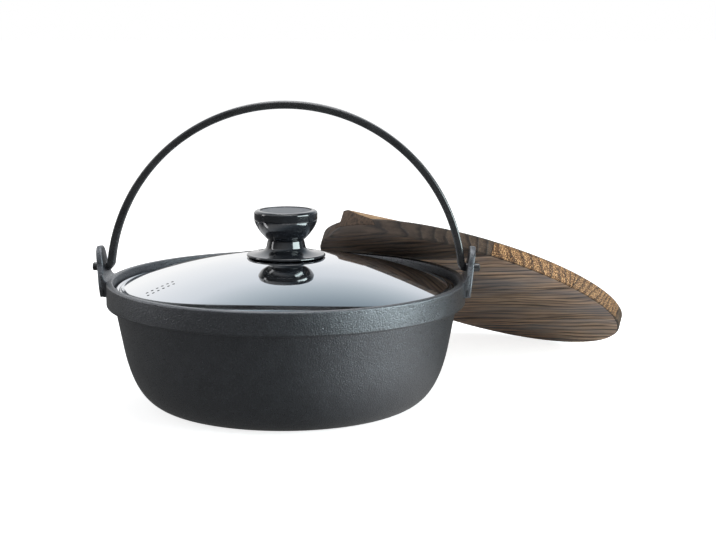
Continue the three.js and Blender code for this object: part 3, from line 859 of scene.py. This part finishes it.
def knob_collar():
    """A wide foot that follows the dome, sloping up to a short neck."""
    seat = spread(SCREW_HOLE, COLLAR_RADIUS - COLLAR_EDGE / 2, CURVE_STEPS)
    edge = dome(COLLAR_RADIUS) + KNOB_GAP
    top = LID_APEX + COLLAR_HEIGHT
    return smoothed(turned("collar", [
        *[(radius, dome(radius) + KNOB_GAP) for radius in seat],
        *bezier([
            (COLLAR_RADIUS, edge + COLLAR_EDGE / 3),
            (COLLAR_RADIUS, edge + COLLAR_EDGE),
            (COLLAR_RADIUS - COLLAR_EDGE / 2, edge + COLLAR_EDGE),
        ]),
        *bezier([
            (COLLAR_RADIUS - COLLAR_EDGE, edge + COLLAR_EDGE),
            (COLLAR_NECK_RADIUS + COLLAR_HOLLOW, edge + COLLAR_EDGE + COLLAR_HOLLOW),
            (COLLAR_NECK_RADIUS, edge + COLLAR_EDGE + COLLAR_NECK_RISE),
        ], FINE_CURVE_STEPS),
        (COLLAR_TOP_RADIUS, top),
        (SCREW_HOLE, top),
        (SCREW_HOLE, dome(SCREW_HOLE) + KNOB_GAP),
    ], KNOB_STEPS))


def knob_grip():
    """A bowl-shaped grip with a groove under its band, a bore for the insert and a sunk top for the cap."""
    bore = INSERT_RADIUS + KNOB_GAP
    bore_top = KNOB_FOOT + INSERT_LENGTH + KNOB_GAP
    recess = CAP_RADIUS + KNOB_GAP
    recess_floor = CAP_BOTTOM - KNOB_GAP
    return smoothed(turned("grip", [
        (0, bore_top),
        (bore, bore_top),
        (bore, KNOB_FOOT),
        *bezier([
            (KNOB_FOOT_RADIUS, KNOB_FOOT),
            (KNOB_FOOT_RADIUS + KNOB_FOOT_RUN, KNOB_FOOT + KNOB_FOOT_RISE),
            (KNOB_RADIUS - KNOB_BRIM_INSET, KNOB_BOWL_TOP - KNOB_BRIM_DROP),
            (KNOB_RADIUS, KNOB_BOWL_TOP - KNOB_GROOVE),
        ], FINE_CURVE_STEPS),
        (KNOB_RADIUS - KNOB_GROOVE, KNOB_BOWL_TOP),
        (KNOB_RADIUS, KNOB_BOWL_TOP + KNOB_GROOVE),
        *bezier([
            (KNOB_RADIUS, KNOB_BAND_TOP),
            (KNOB_RADIUS, KNOB_TOP),
            (KNOB_RADIUS - KNOB_CROWN_INSET, KNOB_TOP),
        ]),
        (recess, KNOB_TOP),
        (recess, recess_floor),
        (0, recess_floor),
    ], KNOB_STEPS))


def knob_cap():
    """The plain disc in the top of the grip."""
    top = CAP_BOTTOM + CAP_THICKNESS
    return smoothed(turned("cap", [
        (0, CAP_BOTTOM),
        (CAP_RADIUS, CAP_BOTTOM),
        *bezier([
            (CAP_RADIUS, top - CAP_EDGE),
            (CAP_RADIUS, top),
            (CAP_RADIUS - CAP_EDGE, top),
        ]),
        (0, top),
    ], KNOB_STEPS))


def batten_section(room):
    """The batten's dovetail and grip in section, with room round it."""
    neck = BATTEN_WIDTH / 2 + room
    root = neck + BATTEN_FLARE + room
    bottom = WOOD_THICKNESS - BATTEN_HOUSING - room
    return [
        (-root, bottom),
        (root, bottom),
        (neck, WOOD_THICKNESS),
        (neck, WOOD_TOP),
        (-neck, WOOD_TOP),
        (-neck, WOOD_THICKNESS),
    ]


def eased(mesh):
    """A wooden piece with its edges taken off."""
    return smoothed(shaped(mesh, [bevel(WOOD_EDGE, WOOD_EDGE_STEPS, WOOD_SHARP_ANGLE)]))


def wood_disc(height):
    """The round outline that the planks and the batten are cut to, with chamfered edges."""
    radius = WOOD_RADIUS - WOOD_EASE
    inner = radius - WOOD_CHAMFER
    return turned("disc", [
        (0, 0),
        (inner, 0),
        (radius, WOOD_CHAMFER),
        (radius, height - WOOD_CHAMFER),
        (inner, height),
        (0, height),
    ], TURN_STEPS)


def plank(low, high):
    """One plank of the disc between two joint lines, with eased edges and the batten's housing."""
    corners = [(-WOOD_RADIUS, low), (WOOD_RADIUS, low), (WOOD_RADIUS, high), (-WOOD_RADIUS, high)]
    slab = pushed("plank", corners, -WOOD_THICKNESS, 2 * WOOD_THICKNESS, "XYZ")
    board = combined(slab, wood_disc(WOOD_THICKNESS), "INTERSECT")
    housing = pushed("housing", batten_section(PLANK_GAP), -WOOD_RADIUS, WOOD_RADIUS, "XZY")
    return eased(combined(board, housing, "DIFFERENCE"))


def batten():
    """The bar across the planks, flush with their edge, with a slanting cut off one corner of each end."""
    bar = pushed("batten", batten_section(0), -WOOD_RADIUS, WOOD_RADIUS, "XZY")
    whole = combined(bar, wood_disc(2 * WOOD_TOP), "INTERSECT")
    nose = BATTEN_WIDTH / 2 - BATTEN_NOSE
    tip = Vector((nose, math.sqrt(WOOD_RADIUS ** 2 - nose ** 2), WOOD_TOP)) * MM
    for _ in range(2):
        whole = sliced(whole, tip, BATTEN_SLOPE)
        whole.transform(Matrix.Rotation(math.pi, 4, "Z"))
    return eased(whole)


def wood_matrix():
    """Where the plank lid leans: on the rim's rounded outer edge, with its low edge on the table."""
    contact = (
        (RIM_RADIUS - RIM_ROUNDING) * math.sin(LEAN_ANGLE)
        + (POT_HEIGHT - RIM_ROUNDING) * math.cos(LEAN_ANGLE)
        + RIM_ROUNDING
        + PLANK_GAP
    )
    low_edge = WOOD_RADIUS - WOOD_CHAMFER
    place = Vector((
        contact / math.sin(LEAN_ANGLE) - low_edge * math.cos(LEAN_ANGLE),
        -LEAN_SHIFT,
        low_edge * math.sin(LEAN_ANGLE),
    )) * MM
    return (
        Matrix.Rotation(LEAN_DIRECTION, 4, "Z")
        @ Matrix.Translation(place)
        @ Matrix.Rotation(LEAN_ANGLE, 4, "Y")
        @ Matrix.Rotation(GRAIN_ANGLE, 4, "Z")
    )


# Materials

class Nodes:
    """A node tree with short calls for its nodes."""

    def __init__(self, tree):
        self.tree = tree

    def feed(self, socket, value):
        """Gives a socket a link or a constant."""
        if isinstance(value, bpy.types.NodeSocket):
            self.tree.links.new(value, socket)
        else:
            socket.default_value = value

    def node(self, kind, inputs, **settings):
        made = self.tree.nodes.new(kind)
        for key, value in settings.items():
            setattr(made, key, value)
        for key, value in inputs.items():
            self.feed(made.inputs[key], value)
        return made

    def math(self, operation, first, second=0.0):
        return self.node("ShaderNodeMath", {0: first, 1: second}, operation=operation).outputs[0]

    def vector(self, operation, *inputs):
        return self.node("ShaderNodeVectorMath", dict(enumerate(inputs)), operation=operation).outputs

    def split(self, vector):
        return self.node("ShaderNodeSeparateXYZ", {"Vector": vector}).outputs

    def remap(self, value, span, to_span, **settings):
        return self.node("ShaderNodeMapRange", {
            "Value": value,
            "From Min": span[0],
            "From Max": span[1],
            "To Min": to_span[0],
            "To Max": to_span[1],
        }, **settings).outputs["Result"]

    def blend(self, first, second, share):
        """Two values added, the first with a share and the second with the rest."""
        return self.math("ADD", self.math("MULTIPLY", first, share), self.math("MULTIPLY", second, 1 - share))

    def ramp(self, value, shades):
        made = self.node("ShaderNodeValToRGB", {"Fac": value})
        stops = made.color_ramp.elements
        while len(stops) < len(shades):
            stops.new(RAMP_MIDDLE)
        for stop, (position, colour) in zip(stops, shades):
            stop.position = position
            stop.color = (*colour, 1)
        return made.outputs["Color"]

    def rays(self):
        """Whether a ray comes from the camera, and whether from a reflection or through glass."""
        path = self.node("ShaderNodeLightPath", {}).outputs
        mirrored = self.math("MAXIMUM", path["Is Glossy Ray"], path["Is Transmission Ray"])
        return path["Is Camera Ray"], mirrored

    def choice(self, share, first, second):
        """One shader or another."""
        return self.node("ShaderNodeMixShader", {0: share, 1: first, 2: second}).outputs[0]


class Paint(Nodes):
    """A procedural material under construction. lean is the matrix of a piece that doesn't stand straight."""

    def __init__(self, name, constants, lean=None):
        self.material = bpy.data.materials.new(name)
        self.material.use_nodes = True
        super().__init__(self.material.node_tree)
        self.lean = lean
        self.shader = self.tree.nodes["Principled BSDF"]
        for socket, value in constants.items():
            self.set(socket, value)

    def set(self, socket, value):
        self.feed(self.shader.inputs[socket], value)

    def own(self, kind):
        """Object or Normal coordinates, turned back to the piece's own frame where it leans."""
        source = self.node("ShaderNodeTexCoord", {}).outputs[kind]
        if self.lean is None:
            return source
        shift = self.lean.to_translation() if kind == "Object" else (0, 0, 0)
        return self.node("ShaderNodeMapping", {
            "Vector": source,
            "Location": shift,
            "Rotation": self.lean.to_euler(),
        }, vector_type="TEXTURE").outputs["Vector"]

    def place(self, scale=(1, 1, 1), shift=(0, 0, 0)):
        """The piece's own coordinates, stretched by scale and shifted."""
        return self.node("ShaderNodeMapping", {
            "Vector": self.own("Object"),
            "Location": shift,
            "Scale": scale,
        }).outputs["Vector"]

    def noise(self, place, pattern, socket="Vector", **settings):
        return self.node("ShaderNodeTexNoise", {
            socket: place,
            "Scale": pattern.scale,
            "Detail": pattern.detail,
            "Roughness": pattern.roughness,
        }, **settings).outputs["Fac"]

    def mix(self, share, first, second):
        """One colour or another."""
        made = self.node("ShaderNodeMix", {0: share}, data_type="RGBA")
        colours = [socket for socket in made.inputs if socket.type == "RGBA"]
        self.feed(colours[0], first)
        self.feed(colours[1], second)
        return next(socket for socket in made.outputs if socket.type == "RGBA")

    def bump(self, height, relief, under=None):
        """The normal of a relief, on top of the one under it."""
        made = self.node("ShaderNodeBump", {
            "Height": height,
            "Distance": relief.depth,
            "Strength": relief.strength,
        })
        if under is not None:
            self.feed(made.inputs["Normal"], under)
        return made.outputs["Normal"]


def cast_iron():
    """Sand-cast iron under a thin dark coat: a fine grain, a slower waviness and uneven gloss."""
    paint = Paint("cast_iron", IRON_SHADER)
    place = paint.place()
    grain = paint.noise(place, IRON_GRAIN)
    pits = paint.noise(place, IRON_PITS)
    waves = paint.noise(place, IRON_WAVES)
    paint.set("Base Color", paint.ramp(paint.blend(grain, waves, IRON_GRAIN_SHARE), IRON_SHADES))
    paint.set("Roughness", paint.remap(grain, NOISE_SPAN, IRON_ROUGHNESS))
    coarse = paint.bump(waves, IRON_WAVE_RELIEF)
    fine = paint.bump(grain, IRON_GRAIN_RELIEF, coarse)
    skin = paint.bump(pits, IRON_PIT_RELIEF, fine)
    paint.set("Normal", skin)
    paint.set("Coat Normal", skin)
    return paint.material


def bail_iron():
    """Satin black bar with a faint drawn grain."""
    paint = Paint("bail_iron", BAIL_SHADER)
    place = paint.place()
    skin = paint.noise(place, BAIL_SKIN)
    patches = paint.noise(place, BAIL_PATCHES)
    paint.set("Base Color", paint.ramp(patches, BAIL_SHADES))
    paint.set("Roughness", paint.remap(skin, NOISE_SPAN, BAIL_ROUGHNESS))
    paint.set("Normal", paint.bump(skin, BAIL_SKIN_RELIEF))
    return paint.material


def mirror_steel():
    """Polished stainless sheet, with the faint clouding of wiping."""
    paint = Paint("mirror_steel", MIRROR_SHADER)
    clouds = paint.noise(paint.place(), MIRROR_CLOUDS)
    paint.set("Roughness", paint.remap(clouds, MIRROR_CLOUD_SPAN, MIRROR_ROUGHNESS))
    return paint.material


def fastener_steel():
    """Bare steel with fine turning marks."""
    paint = Paint("fastener_steel", METAL_SHADER)
    scratches = paint.noise(paint.place(SCRATCH_STRETCH), SCRATCHES)
    paint.set("Base Color", paint.ramp(scratches, STEEL_SHADES))
    paint.set("Roughness", paint.remap(scratches, NOISE_SPAN, STEEL_ROUGHNESS))
    return paint.material


def insert_brass():
    """Slightly tarnished brass."""
    paint = Paint("insert_brass", METAL_SHADER)
    tarnish = paint.noise(paint.place(), TARNISH)
    paint.set("Base Color", paint.ramp(tarnish, BRASS_SHADES))
    paint.set("Roughness", paint.remap(tarnish, NOISE_SPAN, BRASS_ROUGHNESS))
    return paint.material


def knob_phenolic():
    """Glossy black moulding with a very slight orange peel."""
    paint = Paint("knob_phenolic", GRIP_SHADER)
    place = paint.place()
    peel = paint.noise(place, GRIP_PEEL)
    dust = paint.noise(place, GRIP_DUST)
    paint.set("Base Color", paint.ramp(dust, GRIP_SHADES))
    paint.set("Roughness", paint.remap(dust, NOISE_SPAN, GRIP_ROUGHNESS))
    paint.set("Normal", paint.bump(peel, GRIP_PEEL_RELIEF))
    return paint.material


def cap_metal():
    """Satin grey disc, spun so that its fine lines run round it."""
    paint = Paint("cap_metal", CAP_SHADER)
    distance = paint.vector("LENGTH", paint.place())["Value"]
    lines = paint.noise(distance, CAP_LINES, "W", noise_dimensions="1D")
    paint.set("Base Color", paint.ramp(lines, CAP_SHADES))
    paint.set("Roughness", paint.remap(lines, NOISE_SPAN, CAP_ROUGHNESS))
    paint.set("Normal", paint.bump(lines, CAP_LINE_RELIEF))
    return paint.material


def toned(colour, tone_and_painted_light):
    """A colour made lighter or darker."""
    return tuple(tone_and_painted_light * part for part in colour)


def growth_rings(paint, seed, pith):
    """How far into the dark late wood of its growth ring a place is, with wavering rings about the pith."""
    parts = paint.split(paint.place(shift=(seed, 0, 0)))
    bend = paint.noise(paint.place(RING_BEND_STRETCH, (seed, seed, 0)), RING_BEND)
    wander = paint.noise(paint.place(RING_WANDER_STRETCH, (seed, 0, seed)), RING_WANDER)
    sideways = paint.remap(bend, FULL_SPAN, (-RING_BEND_REACH, RING_BEND_REACH))
    across = paint.math("ADD", paint.math("SUBTRACT", parts["Y"], pith[0] * MM), sideways)
    depth = paint.math("SUBTRACT", parts["Z"], pith[1] * MM)
    squares = [paint.math("MULTIPLY", side, side) for side in (across, depth)]
    radius = paint.math("SQRT", paint.math("ADD", *squares))
    waver = paint.remap(wander, RING_WANDER_SPAN, (-RING_WANDER_REACH, RING_WANDER_REACH))
    ring = paint.math("ADD", paint.math("MULTIPLY", radius, RING_FREQUENCY), waver)
    return paint.ramp(paint.math("FRACT", ring), RING_SHADES)


def cedar_face(paint, grain, upward, seed, tone_and_painted_light):
    """A plank's flat faces: grain, greyed in patches, and darker on the upper face. The lower face keeps the
    toned colours with their painted light, while the upper face is mixed toward a dark scorched colour; the
    difference between the two faces is painted light.
    """
    shades = [(position, toned(colour, tone_and_painted_light)) for position, colour in FACE_SHADES]
    scorch = paint.noise(paint.place(SCORCH_STRETCH, (0, seed, 0)), SCORCH)
    patches = paint.remap(scorch, SCORCH_SPAN, (0, SCORCH_SHARE))
    greyed = paint.mix(patches, paint.ramp(grain, shades), (*toned(SCORCH_GREY, tone_and_painted_light), 1))
    return paint.mix(paint.remap(upward, TOP_FACE_SPAN, (0, TOP_FACE_SHARE)), greyed, TOP_FACE_COLOUR)


def cedar_edge(paint, grain, late, endways, seed, fresh):
    """A plank's rim: burnt along the grain, with fresh wood and open pores on its ends."""
    burnt = paint.ramp(grain, BURNT_SHADES)
    pores = paint.noise(paint.place(shift=(seed, 0, 0)), PORES)
    specks = paint.remap(pores, PORE_SPAN, (0, PORE_SHARE))
    rings = paint.math("MULTIPLY", late, END_RING_SHARE)
    end_wood = paint.ramp(paint.math("ADD", rings, specks), END_SHADES)
    return paint.mix(paint.remap(endways, END_SPAN, (0, fresh)), burnt, end_wood)


def cedar(name, lean, seed, pith, tone_and_painted_light, fresh):
    """Scorched and brushed cedar, grain along X: growth rings about a pith, darker late wood standing proud.

    seed shifts the pattern, pith is the rings' centre, the tone is the lightness, partly painted light, and
    fresh is how far the cut ends show unscorched wood.
    """
    paint = Paint(name, CEDAR_SHADER, lean)
    late = growth_rings(paint, seed, pith)
    fibres = paint.noise(paint.place(FIBRE_STRETCH, (seed, 0, 0)), FIBRES)
    streaks = paint.remap(fibres, FIBRE_SPAN, (0, FIBRE_SHARE))
    grain = paint.math("ADD", paint.math("MULTIPLY", late, RING_SHARE), streaks)
    normal = paint.split(paint.own("Normal"))
    face = cedar_face(paint, grain, normal["Z"], seed, tone_and_painted_light)
    edge = cedar_edge(paint, grain, late, paint.math("ABSOLUTE", normal["X"]), seed, fresh)
    flatness = paint.remap(paint.math("ABSOLUTE", normal["Z"]), FACE_SPAN, FULL_SPAN)
    paint.set("Base Color", paint.mix(flatness, edge, face))
    paint.set("Roughness", paint.remap(late, FULL_SPAN, CEDAR_ROUGHNESS))
    ridges = paint.bump(late, RING_RELIEF)
    paint.set("Normal", paint.bump(fibres, FIBRE_RELIEF, ridges))
    return paint.material


def batten_cedar(lean):
    """Scorched cedar for the batten and the pins, grain along Y, with fresh wood on the slanting cuts."""
    paint = Paint("batten_cedar", CEDAR_SHADER, lean)
    lines = paint.noise(paint.place(BATTEN_LINE_STRETCH), BATTEN_LINES)
    fibres = paint.noise(paint.place(BATTEN_FIBRE_STRETCH), BATTEN_FIBRES)
    grain = paint.blend(lines, fibres, BATTEN_LINE_SHARE)
    scorched = paint.ramp(grain, BATTEN_SHADES)
    fresh = paint.ramp(grain, CUT_SHADES)
    normal = paint.own("Normal")
    cuts = []
    for side in (1, -1):
        slope = (side * BATTEN_SLOPE.x, side * BATTEN_SLOPE.y, BATTEN_SLOPE.z)
        cuts.append(paint.vector("DOT_PRODUCT", normal, slope)["Value"])
    nearest = paint.math("MAXIMUM", *cuts)
    paint.set("Base Color", paint.mix(paint.remap(nearest, CUT_SPAN, FULL_SPAN), scorched, fresh))
    paint.set("Roughness", paint.remap(fibres, NOISE_SPAN, BATTEN_ROUGHNESS))
    paint.set("Normal", paint.bump(grain, BATTEN_RELIEF))
    return paint.material


def floor_white():
    """White to the camera with the object's shadow kept; in reflections dim, but for one painted pool of
    light.
    """
    paint = Paint("floor_white", FLOOR_SHADER)
    seen, mirrored = paint.rays()
    glow = paint.math("MULTIPLY", seen, FLOOR_GLOW)
    white = paint.node("ShaderNodeEmission", {"Strength": glow}).outputs[0]
    lit = paint.node("ShaderNodeAddShader", {0: paint.shader.outputs[0], 1: white}).outputs[0]
    # Painted pool of light: a glow near one place on the floor that only reflections show
    distance = paint.vector("DISTANCE", paint.own("Object"), PAINTED_POOL_PLACE)["Value"]
    levels = (PAINTED_POOL_GLOW, FLOOR_SHEEN)
    sheen_and_painted_pool = paint.remap(distance, (0, PAINTED_POOL_REACH), levels, interpolation_type="SMOOTHSTEP")
    dim_floor_and_painted_pool = paint.node("ShaderNodeEmission", {"Strength": sheen_and_painted_pool}).outputs[0]
    output = paint.tree.nodes["Material Output"]
    paint.feed(output.inputs["Surface"], paint.choice(mirrored, lit, dim_floor_and_painted_pool))
    return paint.material


# Studio

def studio_world():
    """White to the camera; in reflections a white backdrop that greys overhead, and a room dim low down."""
    world = bpy.data.worlds.new("studio")
    bpy.context.scene.world = world
    world.use_nodes = True
    nodes = Nodes(world.node_tree)
    nodes.tree.nodes.clear()

    direction = nodes.node("ShaderNodeTexCoord", {}).outputs["Generated"]
    sky = nodes.ramp(nodes.vector("DOT_PRODUCT", direction, SKY_SLANT)["Value"], SKY_SHADES)
    level_way = nodes.vector("MULTIPLY", direction, (1, 1, 0))["Vector"]
    rear = nodes.split(nodes.vector("NORMALIZE", level_way)["Vector"])["Y"]
    raised = nodes.split(direction)["Z"]
    level = nodes.math(
        "MAXIMUM",
        nodes.remap(rear, BACKDROP_SPAN, ROOM_LEVELS),
        nodes.remap(raised, ROOM_SPAN, ROOM_LEVELS),
    )
    lights = [{"Color": sky, "Strength": level}, GLOW, WHITE]
    room, glow, white = [nodes.node("ShaderNodeBackground", light).outputs[0] for light in lights]
    seen, mirrored = nodes.rays()
    shown = nodes.choice(seen, nodes.choice(mirrored, glow, room), white)
    nodes.node("ShaderNodeOutputWorld", {"Surface": shown})


def studio_floor():
    """A wide pale table."""
    half = FLOOR_SIZE / 2
    corners = [(-half, -half, 0), (half, -half, 0), (half, half, 0), (-half, half, 0)]
    mesh = bpy.data.meshes.new("floor")
    mesh.from_pydata(corners, [], [range(len(corners))])
    mesh.materials.append(floor_white())
    floor = bpy.data.objects.new("floor", mesh)
    bpy.context.scene.collection.objects.link(floor)


def lamp(name, place, target, size, power, colour):
    """A soft rectangular lamp aimed at a point."""
    data = bpy.data.lights.new(name, "AREA")
    data.shape = "RECTANGLE"
    data.size, data.size_y = size
    data.energy = power
    data.color = colour
    made = bpy.data.objects.new(name, data)
    bpy.context.scene.collection.objects.link(made)
    made.location = place
    made.rotation_euler = (Vector(target) - Vector(place)).to_track_quat("-Z", "Y").to_euler()


def camera():
    """The photograph's camera."""
    data = bpy.data.cameras.new("camera")
    data.sensor_width = CAMERA_SENSOR
    data.lens = CAMERA_LENS
    made = bpy.data.objects.new("camera", data)
    bpy.context.scene.collection.objects.link(made)
    made.location = CAMERA_PLACE
    made.rotation_euler = (CAMERA_TILT, 0, CAMERA_TURN)
    bpy.context.scene.camera = made


def dressed(nodes, material):
    """Gives CAD nodes that stay in view a material of their own."""
    for name in nodes:
        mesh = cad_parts[name].data
        for index in range(len(mesh.materials)):
            mesh.materials[index] = material
        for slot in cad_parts[name].material_slots:
            slot.material = material


# The scene

bpy.context.scene.view_settings.view_transform = "Standard"
camera()
studio_world()
studio_floor()
for name, settings in LAMPS.items():
    lamp(name, *settings)

placed("cast_pot", pot(), cast_iron(), "pot", ["pot_body"])
placed("bent_bail", bail(), bail_iron(), "bail", ["bail_handle"])
placed("domed_lid", lid(), mirror_steel(), "lid", ["lid_shell"])
black = knob_phenolic()
placed("collar", knob_collar(), black, "lid", ["knob_collar"])
placed("grip", knob_grip(), black, "lid", ["knob_body"])
placed("cap", knob_cap(), cap_metal(), "lid", ["knob_cap"])

lean = wood_matrix()
half_gap = PLANK_GAP / 2
for number, look in enumerate(PLANK_LOOKS, 1):
    low = PLANK_EDGES[number - 1] + (half_gap if number > 1 else 0)
    high = PLANK_EDGES[number] - (half_gap if number < len(PLANK_LOOKS) else 0)
    board = moved(plank(low, high), lean)
    wood = cedar(f"cedar_{number}", lean, **look)
    placed(f"plank_{number}", board, wood, "wood_lid", [f"wood_plank_{number}"])
pale = batten_cedar(lean)
placed("batten", moved(batten(), lean), pale, "wood_lid", ["wood_batten"])
dressed([f"wood_dowel_{number}" for number in range(1, DOWEL_COUNT + 1)], pale)
dressed(["knob_insert"], insert_brass())
dressed(["knob_washer", "knob_screw"], fastener_steel())
